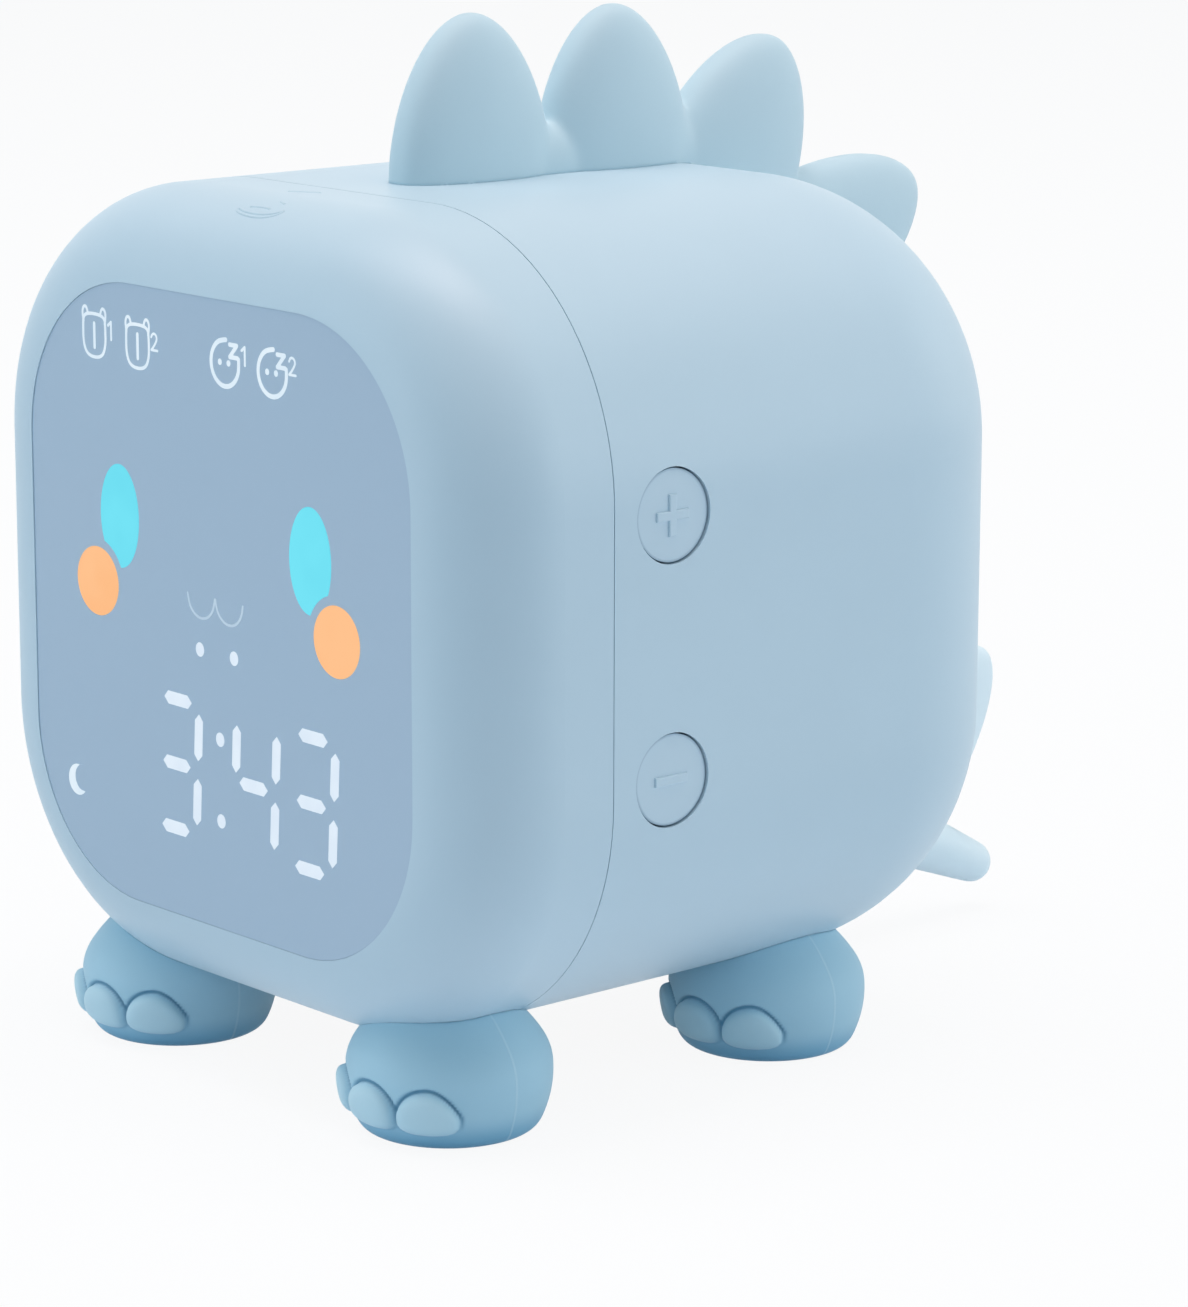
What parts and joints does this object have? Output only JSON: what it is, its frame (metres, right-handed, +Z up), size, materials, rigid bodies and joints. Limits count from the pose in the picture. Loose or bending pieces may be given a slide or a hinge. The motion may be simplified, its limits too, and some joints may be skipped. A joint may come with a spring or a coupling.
{
  "type": "children's alarm clock with night light",
  "caption": "Rounded cube bedside alarm clock on soft paws, with a lit display, side push buttons, a glowing soft crest along its top and a soft tail.",
  "frame": {"origin": "on the desk under the middle of the clock's whole width and length, tail included", "axes": "+X to the clock's right side as seen from the front, +Y from the face to the tail, +Z up"},
  "size_m": [0.088, 0.1192, 0.1147],
  "materials": {
    "case_plastic": "satin light blue ABS",
    "soft_silicone": "matte blue-green silicone",
    "button_plastic": "satin light blue ABS",
    "window_plastic": "matte light blue film-backed acrylic",
    "film": "printed light filter film",
    "mask_plastic": "white light-blocking plastic",
    "eye_light": "lit cyan diffuser",
    "cheek_light": "lit peach diffuser",
    "digit_light": "lit white diffuser",
    "led": "moulded diode",
    "board": "green solder mask",
    "chip": "black moulded package",
    "steel": "zinc plated steel",
    "switch_plastic": "black plastic",
    "white_plastic": "off-white nylon",
    "foam": "black foam",
    "paper": "black paper cone",
    "battery_film": "blue shrink film",
    "copper": "copper foil",
    "lead": "red wire insulation",
    "ribbon": "white flat cable"
  },
  "bodies": {
    "case": {"battery_foam": "foam", "battery_lead": "lead", "battery_pack": "battery_film", "battery_strap": "white_plastic", "cheek_diffusers": "cheek_light", "clock_chip": "chip", "crest": "soft_silicone", "crystal": "steel", "digit_diffusers": "digit_light", "digit_leds": "led", "display_board": "board", "display_driver": "chip", "display_film": "film", "display_ribbon": "ribbon", "display_screws": "steel", "display_window": "window_plastic", "eye_diffusers": "eye_light", "face_leds": "led", "front_bezel": "case_plastic", "front_left_paw": "soft_silicone", "front_right_paw": "soft_silicone", "icon_diffusers": "digit_light", "icon_leds": "led", "lead_plugs": "white_plastic", "left_switch_board": "board", "left_switches": "switch_plastic", "light_mask": "mask_plastic", "main_board": "board", "main_screws": "steel", "night_board": "board", "night_lead": "lead", "night_leds": "led", "night_screws": "steel", "rear_left_paw": "soft_silicone", "rear_right_paw": "soft_silicone", "rear_shell": "case_plastic", "reset_switch": "switch_plastic", "ribbon_sockets": "white_plastic", "right_switch_board": "board", "right_switches": "switch_plastic", "speaker_clamp": "switch_plastic", "speaker_cone": "paper", "speaker_frame": "steel", "speaker_gasket": "foam", "speaker_magnet": "steel", "speaker_screws": "steel", "strap_screws": "steel", "switch_leads": "lead", "switch_screws": "steel", "tail": "soft_silicone", "touch_plate": "copper", "usb_socket": "steel"},
    "plus": {"plus_button": "button_plastic", "plus_plunger": "white_plastic"},
    "minus": {"minus_button": "button_plastic", "minus_plunger": "white_plastic"},
    "setting": {"setting_button": "button_plastic", "setting_plunger": "white_plastic"},
    "alarm": {"alarm_button": "button_plastic", "alarm_plunger": "white_plastic"}
  },
  "joints": [
    {"name": "plus_press", "type": "slide", "parent": "case", "child": "plus", "axis": [-1, 0, 0], "range_m": [0, 0.0005], "stiffness_N_per_m": 3000},
    {"name": "minus_press", "type": "slide", "parent": "case", "child": "minus", "axis": [-1, 0, 0], "range_m": [0, 0.0005], "stiffness_N_per_m": 3000},
    {"name": "setting_press", "type": "slide", "parent": "case", "child": "setting", "axis": [1, 0, 0], "range_m": [0, 0.0005], "stiffness_N_per_m": 3000},
    {"name": "alarm_press", "type": "slide", "parent": "case", "child": "alarm", "axis": [1, 0, 0], "range_m": [0, 0.0005], "stiffness_N_per_m": 3000}
  ]
}
